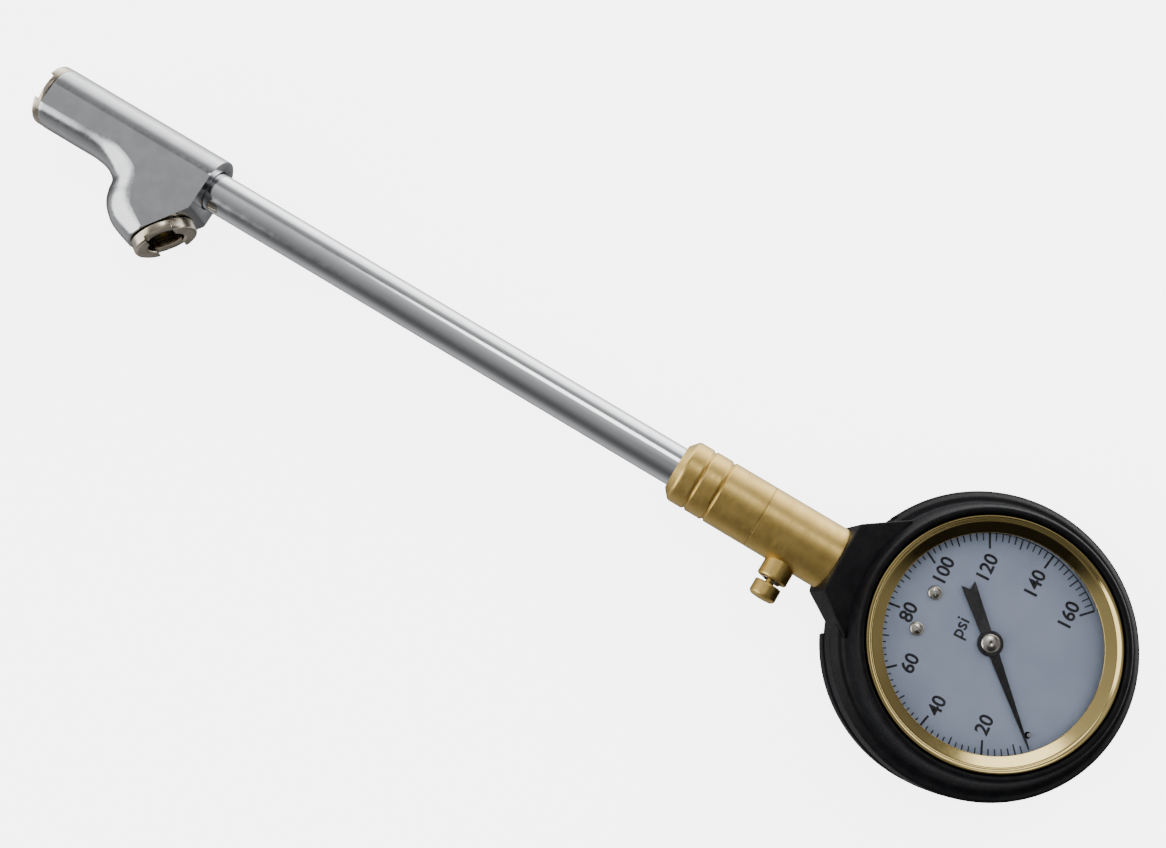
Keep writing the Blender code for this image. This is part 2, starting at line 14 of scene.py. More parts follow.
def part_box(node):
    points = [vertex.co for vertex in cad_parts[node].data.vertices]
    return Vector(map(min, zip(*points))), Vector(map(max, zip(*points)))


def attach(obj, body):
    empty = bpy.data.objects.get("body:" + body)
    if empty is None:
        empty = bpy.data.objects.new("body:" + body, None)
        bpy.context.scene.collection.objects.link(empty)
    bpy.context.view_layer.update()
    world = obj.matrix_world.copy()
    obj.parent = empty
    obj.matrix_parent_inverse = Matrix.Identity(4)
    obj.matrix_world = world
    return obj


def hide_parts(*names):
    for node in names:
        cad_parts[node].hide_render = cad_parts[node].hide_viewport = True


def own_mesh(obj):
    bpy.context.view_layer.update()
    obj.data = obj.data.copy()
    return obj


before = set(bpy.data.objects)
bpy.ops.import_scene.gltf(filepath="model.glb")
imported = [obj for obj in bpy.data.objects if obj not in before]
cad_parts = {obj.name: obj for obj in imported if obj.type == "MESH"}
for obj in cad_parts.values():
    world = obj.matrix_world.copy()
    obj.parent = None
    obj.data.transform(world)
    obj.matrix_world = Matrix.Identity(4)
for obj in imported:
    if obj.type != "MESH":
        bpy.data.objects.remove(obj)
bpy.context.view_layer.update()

MM = 0.001

# Driving dimensions, in millimetres, as in the CAD.
BEZEL_R = 27.5
BEZEL_INNER_R = 23.7
BOOT_R = 33.9
BOOT_BACK_R = 33.5
BOOT_DEPTH = 30.4
STEM_DROP = 16.4
TUBE_R = 4.75
BRASS_R = 7.6
BRASS_JOINT_X = -55.9
BARREL_R = 7.67
CHUCK_FRONT_X = -247.6
CHUCK_BACK_X = -204.0
FRONT_RING = 2.6
FOOT_RING = 3.1
FOOT_ANGLE = math.radians(-35)
FOOT_FACE = (-209.0, -14.6)
BLEED_X = -46.6
DIAL_TOP = -5.1
POINTER_ANGLE = math.radians(319.2)
DIAL_SCREWS = ((-15.4, 3.5), (-15.0, -5.3))
STOP_PIN = (16.34, -12.79)
CASE_ROOM_R = 26.5
ALONG = (1, 0, 0)
UP = (0, 0, 1)

# The springs as (radius, length, turns, wire), and how far each starts from its frame's origin.
PIN_SPRING, PIN_SPRING_START = (3.1, 4.9, 3.5, 0.5), 7.9
BLEED_SPRING, BLEED_SPRING_START = (1.95, 7.1, 9, 0.55), 5.1

# The scale on the dial: pressures in psi, an angle in degrees at one of them, and radii.
SCALE_MID = (80, 188.9)
DEGREES_PER_PSI = -35.18 / 20
SCALE_FIRST, SCALE_LAST, SCALE_STEP = 8, 160, 2
TICK_OUTER = 24.05
TICK_INNER = {20: 20.6, 10: 21.7, 2: 22.35}
TICK_WIDTH = {20: 0.46, 10: 0.30, 2: 0.26}
PRINT_SINK, PRINT_RISE = 0.02, 0.03
NUMBER_HEIGHT = 2.95
FONT_FIGURE_HEIGHT = 0.7
NUMBER_WEIGHT, UNIT_WEIGHT = 0.085, 0.04
TEXT_ANGLE = math.radians(94)
NUMBERS = {
    "20": (7.28, -15.66), "40": (-3.33, -17.44), "60": (-12.71, -12.52), "80": (-18.33, -3.13),
    "100": (-16.22, 8.96), "120": (-8.43, 14.41), "140": (2.13, 16.71), "160": (11.6, 14.48),
}
UNIT = ("psi", (-6.68, -0.2))

# The camera, in the gauge's frame, and its lens on a 36 mm sensor.
CAMERA_AT = (-66.67, -55.16, 346.2)
CAMERA_FORWARD = (-0.0937, 0.14274, -0.98531)
CAMERA_UP = (-0.51007, 0.84303, 0.17064)
CAMERA_LENS = 49.72

# The studio room as metal sees it: (degrees round the stem from straight up towards +Y, brightness).
ROOM_LEVELS = (
    (-165, 0.04), (-142, 0.13), (-114, 0.094), (-89, 0.038), (-68, 0.022), (-49, 0.036), (-31, 0.062),
    (-14, 0.084), (3, 0.12), (22, 0.17), (39, 0.056), (58, 0.124), (76, 0.58), (102, 1.0), (128, 0.44),
    (150, 0.14),
)
ROOM_END = 0.03
ROOM_STRENGTH = 5.0
# Round parts of the room: (direction, cosines of the outer and inner edge, brightness). A shade's
# brightness multiplies the room's, and a softbox's is added to it.
SHADES = (
    ((0.36, -0.2, 0.91), (0.915, 0.955), 0.04),
    ((0.6, 0.45, 0.66), (0.8, 0.93), 0.4),
)
SOFTBOXES = (
    ((-0.07, 0.46, 0.885), (0.98, 0.992), 0.9),
    ((-0.8, -0.5, 0.35), (0.84, 0.9), 0.8),
)
OVERHEAD_POWER = 6.0
SIDE_POWER = 4.0
FLOOR_GLOW = 4.5


def gauge_place():
    """The gauge's frame in the row frame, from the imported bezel."""
    low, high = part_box("bezel")
    return Matrix.Translation(((low[0] + high[0]) / 2, (low[1] + high[1]) / 2, high[2]))


GAUGE = gauge_place()


# ---- materials ----

def shader_of(name):
    mat = bpy.data.materials.new(name)
    mat.use_nodes = True
    return mat, mat.node_tree.nodes, mat.node_tree.links, mat.node_tree.nodes["Principled BSDF"]


def noise(nodes, links, scale, detail=3.0, stretch=(1, 1, 1)):
    """A noise value over the object's own coordinates, in metres."""
    place = nodes.new("ShaderNodeTexCoord")
    mapping = nodes.new("ShaderNodeMapping")
    mapping.inputs["Scale"].default_value = stretch
    links.new(place.outputs["Object"], mapping.inputs["Vector"])
    texture = nodes.new("ShaderNodeTexNoise")
    texture.inputs["Scale"].default_value = scale
    texture.inputs["Detail"].default_value = detail
    links.new(mapping.outputs["Vector"], texture.inputs["Vector"])
    return texture.outputs["Fac"]


def ranged(nodes, links, value, low, high, start=0.35, stop=0.65):
    spread = nodes.new("ShaderNodeMapRange")
    spread.inputs["From Min"].default_value = start
    spread.inputs["From Max"].default_value = stop
    spread.inputs["To Min"].default_value = low
    spread.inputs["To Max"].default_value = high
    links.new(value, spread.inputs["Value"])
    return spread.outputs["Result"]


def mixed(nodes, links, share, first, second):
    mix = nodes.new("ShaderNodeMix")
    mix.data_type = "RGBA"
    mix.inputs["A"].default_value = (*first, 1)
    mix.inputs["B"].default_value = (*second, 1)
    links.new(share, mix.inputs["Factor"])
    return mix.outputs["Result"]


def bumped(nodes, links, shader, value, depth, strength):
    bump = nodes.new("ShaderNodeBump")
    bump.inputs["Distance"].default_value = depth
    bump.inputs["Strength"].default_value = strength
    links.new(value, bump.inputs["Height"])
    links.new(bump.outputs["Normal"], shader.inputs["Normal"])


def surface(name, colour, tint, roughness, metallic, grain, depth=0.00001, gloss=0.5):
    """A material with two close colours, uneven polish and a fine surface texture."""
    mat, nodes, links, shader = shader_of(name)
    shader.inputs["Metallic"].default_value = metallic
    shader.inputs["Specular IOR Level"].default_value = gloss
    broad = noise(nodes, links, grain / 6, 2.0)
    fine = noise(nodes, links, grain, 4.0)
    paint = mixed(nodes, links, ranged(nodes, links, broad, 0, 1), colour, tint)
    links.new(paint, shader.inputs["Base Color"])
    links.new(ranged(nodes, links, fine, roughness * 0.8, roughness * 1.25), shader.inputs["Roughness"])
    bumped(nodes, links, shader, fine, depth, 0.3)
    return mat


def turned_metal(name, colour, tint, roughness, line_scale):
    """Metal with fine lathe marks round the local Z axis."""
    mat, nodes, links, shader = shader_of(name)
    shader.inputs["Metallic"].default_value = 1.0
    lines = noise(nodes, links, line_scale, 3.0, (0.03, 0.03, 1))
    patches = noise(nodes, links, 260, 3.0)
    paint = mixed(nodes, links, ranged(nodes, links, patches, 0, 1), colour, tint)
    links.new(paint, shader.inputs["Base Color"])
    links.new(ranged(nodes, links, lines, roughness * 0.75, roughness * 1.3), shader.inputs["Roughness"])
    bumped(nodes, links, shader, lines, 0.000012, 0.35)
    return mat


def clear_lens(name):
    mat, nodes, links, shader = shader_of(name)
    shader.inputs["Base Color"].default_value = (0.0, 0.0, 0.0, 1)
    shader.inputs["Alpha"].default_value = 0.02
    haze = noise(nodes, links, 180, 2.0)
    links.new(ranged(nodes, links, haze, 0.02, 0.06), shader.inputs["Roughness"])
    return mat


MATS = {
    "chrome": surface("chrome", (0.72, 0.73, 0.75), (0.66, 0.67, 0.70), 0.11, 1.0, 500),
    "cast": surface("cast_chrome", (0.47, 0.475, 0.49), (0.42, 0.425, 0.44), 0.19, 1.0, 1500, depth=0.00003),
    "nickel": surface("nickel", (0.50, 0.45, 0.37), (0.34, 0.28, 0.20), 0.24, 1.0, 900),
    "plated": surface("plated_screw", (0.62, 0.60, 0.55), (0.50, 0.47, 0.41), 0.22, 1.0, 900),
    "steel": surface("spring_steel", (0.55, 0.56, 0.58), (0.44, 0.44, 0.45), 0.28, 1.0, 900),
    "brass": turned_metal("turned_brass", (0.60, 0.42, 0.135), (0.52, 0.36, 0.105), 0.39, 9000),
    "gold": surface("bezel_gold", (0.53, 0.41, 0.165), (0.48, 0.37, 0.14), 0.10, 1.0, 500),
    "rubber": surface(
        "boot_rubber", (0.0015, 0.0015, 0.002), (0.003, 0.003, 0.0035), 0.46, 0.0, 2600,
        depth=0.00004, gloss=0.1,
    ),
    "seal": surface("seal_rubber", (0.02, 0.02, 0.02), (0.03, 0.03, 0.03), 0.6, 0.0, 1500),
    "case": surface("case_paint", (0.03, 0.03, 0.03), (0.045, 0.045, 0.045), 0.4, 0.0, 900),
    "dial": surface(
        "dial_enamel", (0.165, 0.19, 0.25), (0.15, 0.175, 0.23), 0.5, 0.0, 700,
        depth=0.000004, gloss=0.2,
    ),
    "ink": surface("ink", (0.008, 0.008, 0.009), (0.014, 0.014, 0.016), 0.6, 0.0, 1200, gloss=0.15),
    "black": surface(
        "pointer_paint", (0.008, 0.008, 0.009), (0.014, 0.014, 0.015), 0.5, 0.0, 1200,
        gloss=0.2,
    ),
    "lens": clear_lens("lens_clear"),
}


# ---- mesh helpers ----

def axis_frame(point, axis=UP, spin=0.0):
    """A frame at a point in millimetres whose local Z runs along axis; a level axis has X upright."""
    along = Vector(axis).normalized()
    side = Vector((1, 0, 0)) if abs(along.z) > 0.9 else Vector((0, 0, 1))
    turn = Matrix((side, along.cross(side), along)).transposed().to_4x4()
    return Matrix.Translation(Vector(point) * MM) @ turn @ Matrix.Rotation(spin, 4, "Z")


def solid(name, bm, look, place=None):
    """One object from a closed mesh in millimetres, placed in the gauge's frame."""
    bmesh.ops.scale(bm, vec=(MM, MM, MM), verts=bm.verts)
    bmesh.ops.recalc_face_normals(bm, faces=bm.faces)
    mesh = bpy.data.meshes.new(name)
    bm.to_mesh(mesh)
    bm.free()
    mesh.materials.append(MATS[look])
    obj = bpy.data.objects.new(name, mesh)
    bpy.context.scene.collection.objects.link(obj)
    obj.matrix_world = GAUGE @ (place or Matrix.Identity(4))
    return obj


def combined(target, tools, operation="DIFFERENCE"):
    """The target after Booleans with the tools, which are used up."""
    for tool in tools:
        modifier = target.modifiers.new(tool.name, "BOOLEAN")
        modifier.object = tool
        modifier.operation = operation
        modifier.solver = "EXACT"
    return applied(target, tools)


def applied(obj, tools=()):
    """The object with its modifiers made part of its mesh."""
    bpy.context.view_layer.update()
    made = bpy.data.meshes.new_from_object(obj.evaluated_get(bpy.context.evaluated_depsgraph_get()))
    obj.modifiers.clear()
    obj.data = made
    for tool in tools:
        bpy.data.objects.remove(tool, do_unlink=True)
    return obj


def finished(obj, body, nodes, bevel=0.0, angle=32):
    """Rounds sharp edges by bevel in millimetres, shades, and ties the piece to the CAD."""
    if bevel:
        modifier = obj.modifiers.new("bevel", "BEVEL")
        modifier.width = bevel * MM
        modifier.segments = 2
        modifier.limit_method = "ANGLE"
        modifier.angle_limit = math.radians(angle)
        modifier.use_clamp_overlap = True
        applied(obj)
    obj.data.shade_smooth()
    obj.data.set_sharp_from_angle(angle=math.radians(angle))
    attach(obj, body)
    if nodes:
        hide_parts(*nodes)
    return obj


def supported(profile, reach=0.22):
    """The outline with points added near the ends of long sides, which keeps their shading straight."""
    out = []
    for (radius, height), (next_radius, next_height) in zip(profile, profile[1:] + profile[:1]):
        out.append((radius, height))
        length = math.hypot(next_radius - radius, next_height - height)
        if length > 4 * reach and (radius or next_radius):
            for share in (reach / length, 1 - reach / length):
                out.append((radius + (next_radius - radius) * share, height + (next_height - height) * share))
    return out


def turned(profile, segments=128):
    """A closed (radius, height) outline turned about local Z; radius 0 closes on the axis."""
    bm = bmesh.new()
    rings = []
    for radius, height in supported(profile):
        if radius == 0:
            rings.append([bm.verts.new((0, 0, height))])
            continue
        angles = (2 * math.pi * i / segments for i in range(segments))
        rings.append([bm.verts.new((radius * math.cos(a), radius * math.sin(a), height)) for a in angles])
    for ring, following in zip(rings, rings[1:] + rings[:1]):
        if len(ring) == 1 and len(following) == 1:
            continue
        for i in range(segments):
            j = (i + 1) % segments
            corners = [ring[i % len(ring)], ring[j % len(ring)]]
            corners += [following[j % len(following)], following[i % len(following)]]
            bm.faces.new(list(dict.fromkeys(corners)))
    return bm


def disc(radius, low, high, segments=64):
    return turned([(0, low), (radius, low), (radius, high), (0, high)], segments)


def washer(inner, outer, low, high, segments=96):
    return turned([(inner, low), (outer, low), (outer, high), (inner, high)], segments)


def swept(rings, bm=None):
    """A solid through rings of points, closed at both ends, in a new mesh or added to bm."""
    if bm is None:
        bm = bmesh.new()
    made = [[bm.verts.new(point) for point in ring] for ring in rings]
    for ring, following in zip(made, made[1:]):
        for i, corner in enumerate(ring):
            j = (i + 1) % len(ring)
            bm.faces.new((corner, ring[j], following[j], following[i]))
    bm.faces.new(made[0])
    bm.faces.new(made[-1])
    return bm


def extruded(outline, low, high, bm=None):
    """A flat (x, y) outline given a thickness."""
    return swept([[(x, y, height) for x, y in outline] for height in (low, high)], bm)


def arc(centre, radius, start, end, count):
    step = (end - start) / (count - 1)
    return [
        (centre[0] + radius * math.cos(start + step * i), centre[1] + radius * math.sin(start + step * i))
        for i in range(count)
    ]


def rounded(corners, count=4):
    """An outline of (x, y, corner radius) with each corner turned into an arc-like curve."""
    out = []
    total = len(corners)
    for i, (x, y, radius) in enumerate(corners):
        here = Vector((x, y))
        if not radius:
            out.append((x, y))
            continue
        before = Vector(corners[i - 1][:2])
        after = Vector(corners[(i + 1) % total][:2])
        start = here + (before - here).normalized() * radius
        stop = here + (after - here).normalized() * radius
        for k in range(count + 1):
            t = k / count
            point = start * (1 - t) ** 2 + here * 2 * t * (1 - t) + stop * t ** 2
            out.append((point.x, point.y))
    return out


def catmull(points, steps):
    """Points on a smooth curve through all but the first and last of points."""
    out = []
    for a, b, c, d in zip(points, points[1:], points[2:], points[3:]):
        for i in range(steps):
            t = i / steps
            out.append(
                0.5 * (2 * b + (c - a) * t + (2 * a - 5 * b + 4 * c - d) * t ** 2
                       + (3 * b - a - 3 * c + d) * t ** 3)
            )
    out.append(points[-2])
    return out


def coil(radius, length, turns, wire, per_turn=32, sides=10):
    """A compression spring along local Z from height 0."""
    rings = []
    count = int(turns * per_turn)
    rise = (length - 2 * wire) / count
    for i in range(count + 1):
        angle = 2 * math.pi * i / per_turn
        ring = []
        for k in range(sides):
            around = 2 * math.pi * k / sides
            out = radius + wire * math.cos(around) / 2
            height = wire + rise * i + wire * math.sin(around) / 2
            ring.append((out * math.cos(angle), out * math.sin(angle), height))
        rings.append(ring)
    return swept(rings)


# ---- the chuck ----

def chuck_rows(steps):
    """Rows round the casting as (edge x, edge y, crease x, crease y).

    An edge lies on the outline halfway up the casting, and a crease on the border of its flat face.
    """
    low_crease, high_crease = -3.9, 1.5
    support = 0.8
    along = Vector((math.cos(FOOT_ANGLE), math.sin(FOOT_ANGLE)))
    across = Vector((-along.y, along.x))
    foot = Vector(FOOT_FACE)
    heel = foot - across * 8.2
    heel_crease = foot - across * 2.9
    corner_y = foot.y + (CHUCK_BACK_X - foot.x) * across.y / across.x
    neck = [
        (-243.0, -BARREL_R, -243.0, -3.8), (-237.5, -BARREL_R, -237.5, -3.7),
        (-233.0, -7.7, -232.5, -3.3), (-229.3, -8.2, -227.5, -3.2), (-226.8, -9.3, -223.2, -4.3),
        (-225.3, -10.8, -220.2, -5.8), (-224.9, -13.0, -218.2, -8.6), (-223.9, -15.4, -217.3, -11.4),
        (-221.9, -17.7, -216.2, -13.4), (-219.0, -19.6, -213.9, -15.0), (*heel, *heel_crease),
    ]
    smooth = catmull([Vector(row) for row in neck + [neck[-1]]], steps)
    rows = [Vector((x, -BARREL_R, x, low_crease)) for x in (CHUCK_FRONT_X, CHUCK_FRONT_X + support)]
    rows += smooth
    back = ((corner_y, corner_y), (corner_y + support, corner_y + support), (BARREL_R - support, 0.9))
    for y, crease_y in back:
        rows.append(Vector((CHUCK_BACK_X, y, CHUCK_BACK_X, crease_y)))
    for x in (CHUCK_BACK_X, CHUCK_BACK_X - support, CHUCK_FRONT_X + support, CHUCK_FRONT_X):
        rows.append(Vector((x, BARREL_R, x, high_crease)))
    return rows


def front_frame():
    return axis_frame((CHUCK_FRONT_X, 0, -STEM_DROP), ALONG)


def foot_frame():
    inward = (-math.cos(FOOT_ANGLE), -math.sin(FOOT_ANGLE), 0)
    return axis_frame((*FOOT_FACE, -STEM_DROP), inward)


def chuck_blank():
    """The casting before its bores: rounded sides between two flat faces."""
    levels, steps = 12, 6
    loops = []
    limit = math.radians(80)
    for level in range(-levels, levels + 1):
        part = limit * level / levels
        share = (1 - math.cos(part)) / (1 - math.cos(limit))
        height = BARREL_R * math.sin(part) / math.sin(limit)
        loops.append([
            (x + (crease_x - x) * share, y + (crease_y - y) * share, height)
            for x, y, crease_x, crease_y in chuck_rows(steps)
        ])
    return swept(loops)


def chuck():
    body = solid("chuck_casting", chuck_blank(), "cast", axis_frame((0, 0, -STEM_DROP)))
    bore = [(0, -3), (5.8, -3), (5.8, 6.4), (4.4, 6.4), (4.4, 13.0), (0, 13.0)]
    socket_start = (CHUCK_BACK_X - 10, 0, -STEM_DROP)
    tools = [
        solid("front_bore", turned(bore, 64), "cast", front_frame()),
        solid("foot_bore", turned(bore, 64), "cast", foot_frame()),
        solid("air_way", disc(2.3, 0, 30), "cast", axis_frame((-238, 0, -STEM_DROP), ALONG)),
        solid("socket", disc(TUBE_R + 0.3, 0, 12), "cast", axis_frame(socket_start, ALONG)),
        solid("foot_way", disc(1.8, 0, 12), "cast", axis_frame((-217.5, -12, -STEM_DROP), (0, 1, 0))),
    ]
    combined(body, tools)
    finished(body, "gauge", ["chuck_body"], bevel=0.25, angle=40)
    # The flat faces keep straight reflections only where their borders are sharp.
    for polygon in body.data.polygons:
        if abs(polygon.normal.z) > 0.9999:
            for loop in polygon.loop_indices:
                body.data.edges[body.data.loops[loop].edge_index].use_edge_sharp = True


def ring(name, node, place, face):
    """A slotted ring with a rounded rim, screwed into a mouth of the chuck."""
    profile = rounded([
        (4.4, -face, 0.5), (7.6, -face, 0.7), (7.6, -0.3, 0.25), (5.5, -0.3, 0), (5.5, 3.6, 0), (4.7, 3.6, 0),
        (4.7, 0.4, 0), (4.4, 0.0, 0),
    ])
    piece = solid(name, turned(profile), "nickel", place)
    slot = extruded([(-9, -3.3), (9, -3.3), (9, 3.3), (-9, 3.3)], -face - 1, -face + 1.2)
    combined(piece, [solid(name + "_slot", slot, "nickel", place)])
    finished(piece, "gauge", [node], bevel=0.12)


def spring(name, node, place, start, shape):
    """A coil of the given shape, starting start millimetres along its frame's local Z."""
    piece = solid(name, coil(*shape), "steel", place @ Matrix.Translation((0, 0, start * MM)))
    finished(piece, "gauge", [node])
    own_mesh(piece)


def springs():
    for prefix, place in (("front", front_frame()), ("foot", foot_frame())):
        spring(
            prefix + "_coil", prefix + "_spring", place,
            PIN_SPRING_START, PIN_SPRING,
        )
    spring(
        "bleed_coil", "bleed_spring", bleed_frame(),
        BLEED_SPRING_START, BLEED_SPRING,
    )


# ---- the stem ----

def bleed_frame():
    return axis_frame((BLEED_X, 0, -STEM_DROP), (0, -1, 0))


def stem_frame():
    return axis_frame((0, 0, -STEM_DROP), ALONG)


def tube():
    piece = solid("stem_tube", washer(3.1, TUBE_R, CHUCK_BACK_X - 9.7, -66.3), "chrome", stem_frame())
    finished(piece, "gauge", ["extension_tube"], bevel=0.15)


def coupling():
    """The brass sleeve over the end of the tube, with its two grooves."""
    front, back, groove_size = -77.7, BRASS_JOINT_X, 0.5
    outer = [(5.05, front, 0), (5.5, front, 0), (BRASS_R, front + 1.8, 0.5)]
    for groove in (-71.8, -66.9):
        outer += [
            (BRASS_R, groove - groove_size, 0.12), (BRASS_R - groove_size, groove, 0.15),
            (BRASS_R, groove + groove_size, 0.12),
        ]
    outer += [(BRASS_R, back, 0.05), (5.5, back, 0), (5.5, -62.4, 0), (3.0, -62.4, 0)]
    outer += [(3.0, -66.0, 0), (5.05, -66.0, 0)]
    sleeve = solid("coupling_sleeve", turned(rounded(outer, 3)), "brass", stem_frame())
    finished(sleeve, "gauge", ["tube_coupling"])


def bleed_valve():
    """The brass barrel with the boss of its bleed valve, and the button in it."""
    front, back = BRASS_JOINT_X + 0.07, -29.2
    body = [
        (2.7, -60.4, 0), (5.1, -60.4, 0), (5.1, front, 0), (BRASS_R, front, 0.05), (BRASS_R, back, 0),
        (5.3, back, 0), (5.3, -40.5, 0), (3.2, -40.5, 0), (3.2, -58.0, 0), (2.7, -58.0, 0),
    ]
    valve = solid("valve_barrel", turned(rounded(body, 3)), "brass", stem_frame())
    boss = [(0, 4.0), (3.6, 4.0)] + arc((3.1, 10.7), 0.5, 0, math.pi / 2, 5) + [(0, 11.2)]
    combined(valve, [solid("boss", turned(boss, 64), "brass", bleed_frame())], "UNION")
    bore = [(0, 1.0), (1.4, 1.0), (1.4, 5.0), (2.3, 5.0), (2.3, 13), (0, 13)]
    tools = [
        solid("way", disc(3.2, -57.9, -40.6), "brass", stem_frame()),
        solid("bore", turned(bore, 48), "brass", bleed_frame()),
    ]
    combined(valve, tools)
    finished(valve, "gauge", ["bleed_valve_body"])

    button = [
        (0, 2.5, 0), (1.0, 2.5, 0), (1.0, 12.3, 0), (3.2, 12.3, 0.3), (3.2, 15.3, 0.2), (2.6, 15.9, 0.2),
        (0, 15.9, 0),
    ]
    cap = solid("bleed_cap", turned(rounded(button, 3), 96), "brass", bleed_frame())
    finished(cap, "bleed", ["bleed_button"])


# ---- the gauge head ----

def bezel():
    profile = rounded([
        (26.6, -5.6, 0), (27.3, -5.6, 0), (27.3, -1.3, 0), (BEZEL_R, -1.0, 0.15), (BEZEL_R, -0.15, 0.35),
        (27.1, 0.0, 0.25), (26.6, -0.25, 0.3), (26.2, -0.75, 0.25), (24.5, -1.13, 0.5),
        (BEZEL_INNER_R, -1.32, 0.1), (BEZEL_INNER_R, -1.95, 0.1), (26.6, -1.95, 0),
    ])
    piece = solid("bezel_ring", turned(profile, 192), "gold")
    finished(piece, "gauge", ["bezel"])


def dial():
    plate = solid("dial_plate", disc(25.0, DIAL_TOP - 0.5, DIAL_TOP, 160), "dial")
    holes = [(0, 0, 1.7)] + [(x, y, 1.2) for x, y in DIAL_SCREWS] + [(*STOP_PIN, 0.75)]
    tools = [
        solid(f"hole_{i}", disc(radius, -8, -3, 32), "dial", axis_frame((x, y, 0)))
        for i, (x, y, radius) in enumerate(holes)
    ]
    combined(plate, tools)
    finished(plate, "gauge", ["dial"])


def scale_angle(value):
    """The direction of a pressure on the dial."""
    return math.radians(SCALE_MID[1] + DEGREES_PER_PSI * (value - SCALE_MID[0]))


def dial_print():
    """The tick marks, the line round their outer ends, the numbers and the unit."""
    outlines = []
    for value in range(SCALE_FIRST, SCALE_LAST + 1, SCALE_STEP):
        kind = next(step for step in TICK_INNER if value % step == 0)
        outlines.append(bar(TICK_INNER[kind], TICK_OUTER, TICK_WIDTH[kind], scale_angle(value)))
    first, last = scale_angle(SCALE_FIRST), scale_angle(SCALE_LAST)
    line = arc((0, 0), TICK_OUTER + 0.1, first, last, 160) + arc((0, 0), TICK_OUTER - 0.1, last, first, 160)
    printing = bmesh.new()
    for outline in [*outlines, line]:
        extruded(outline, DIAL_TOP - PRINT_SINK, DIAL_TOP + PRINT_RISE, printing)
    finished(solid("dial_scale", printing, "ink"), "gauge", [])
    for text, centre in [*NUMBERS.items(), UNIT]:
        lettering(text, centre)


def bar(inner, outer, width, angle):
    """The outline of a printed bar along a radius of the dial."""
    turn = Matrix.Rotation(angle, 2)
    flat = [(inner, -width / 2), (outer, -width / 2), (outer, width / 2), (inner, width / 2)]
    return [turn @ Vector(corner) for corner in flat]


def lettering(text, centre):
    """Printed characters centred on a point of the dial, running along TEXT_ANGLE."""
    curve = bpy.data.curves.new("print_" + text, "FONT")
    curve.body = text
    curve.align_x = "CENTER"
    curve.size = NUMBER_HEIGHT / FONT_FIGURE_HEIGHT * MM
    curve.extrude = (PRINT_RISE + PRINT_SINK) / 2 * MM
    curve.offset = (NUMBER_WEIGHT if text.isdigit() else UNIT_WEIGHT) * MM
    curve.resolution_u = 6
    source = bpy.data.objects.new("print_" + text, curve)
    bpy.context.scene.collection.objects.link(source)
    bpy.context.view_layer.update()
    mesh = bpy.data.meshes.new_from_object(source.evaluated_get(bpy.context.evaluated_depsgraph_get()))
    bpy.data.objects.remove(source, do_unlink=True)
    xs = [v.co.x for v in mesh.vertices]
    ys = [v.co.y for v in mesh.vertices]
    lift = (PRINT_RISE - PRINT_SINK) / 2 * MM
    middle = Vector(((min(xs) + max(xs)) / 2, (min(ys) + max(ys)) / 2, -lift))
    for vertex in mesh.vertices:
        vertex.co -= middle
    mesh.materials.clear()
    mesh.materials.append(MATS["ink"])
    piece = bpy.data.objects.new("dial_print_" + text, mesh)
    bpy.context.scene.collection.objects.link(piece)
    piece.matrix_world = GAUGE @ axis_frame((*centre, DIAL_TOP), UP, TEXT_ANGLE)
    finished(piece, "gauge", [])


def dial_screws():
    """Round-headed screws with a cross slot, each turned its own way."""
    seat, head_r = -4.85, 1.6
    head = [(0, -10.0), (0.9, -10.0), (0.9, -5.05), (head_r, -5.05), (head_r, seat)]
    angles = [math.pi * k / 14 for k in range(1, 7)]
    head += [(head_r * math.cos(t), seat + 0.55 * math.sin(t)) for t in angles]
    head += [(0, -4.3)]
    slot = [(-0.8, -0.16), (0.8, -0.16), (0.8, 0.16), (-0.8, 0.16)]
    for i, (x, y) in enumerate(DIAL_SCREWS):
        place = axis_frame((x, y, 0), UP, math.radians(25 + 40 * i))
        screw = solid(f"dial_screw_head_{i + 1}", turned(head, 48), "plated", place)
        cross = []
        for k in range(2):
            turn = Matrix.Rotation(math.pi / 2 * k, 4, "Z")
            cross.append(solid(f"cross_{i}_{k}", extruded(slot, -4.75, -4), "plated", place @ turn))
        combined(screw, cross)
        finished(screw, "gauge", [f"dial_screw_{i + 1}"])


def pointer():
    """The black pointer with its forked tail and hub, and the plated cap over its shaft."""
    low, hub_top = -4.6, -4.0
    hub_r, eye_r = 2.8, 0.9
    place = axis_frame((0, 0, 0), UP, POINTER_ANGLE)
    outline = [(23.6, -0.12), (23.75, 0.0), (23.6, 0.12), (2.6, 1.1)]
    outline += arc((0, 0), hub_r, math.radians(26), math.radians(155), 24)
    outline += [(-13.6, 1.6), (-12.3, 0.0), (-13.6, -1.6)]
    outline += arc((0, 0), hub_r, math.radians(205), math.radians(334), 24)
    outline += [(2.6, -1.1)]
    blade = solid("pointer_blade", extruded(outline, low, -4.35), "black", place)
    hub = rounded([(eye_r, low, 0), (hub_r, low, 0), (hub_r, hub_top, 0.2), (eye_r, hub_top, 0)])
    combined(blade, [solid("pointer_eye", disc(eye_r, -5, -3, 32), "black", place)])
    combined(blade, [solid("pointer_hub", turned(hub, 96), "black", place)], "UNION")
    finished(blade, "pointer", ["pointer"], bevel=0.05)

    cap_low, cap_r = -3.9, 2.05
    dome = [(0, cap_low), (cap_r, cap_low)]
    angles = [math.pi * k / 20 for k in range(1, 9)]
    dome += [(cap_r * math.cos(t), cap_low + 0.5 * math.sin(t)) for t in angles]
    dome += [(0.35, -3.44), (0.2, -3.5), (0, -3.5)]
    finished(solid("pointer_dome", turned(dome, 96), "plated", place), "pointer", ["pointer_cap"])


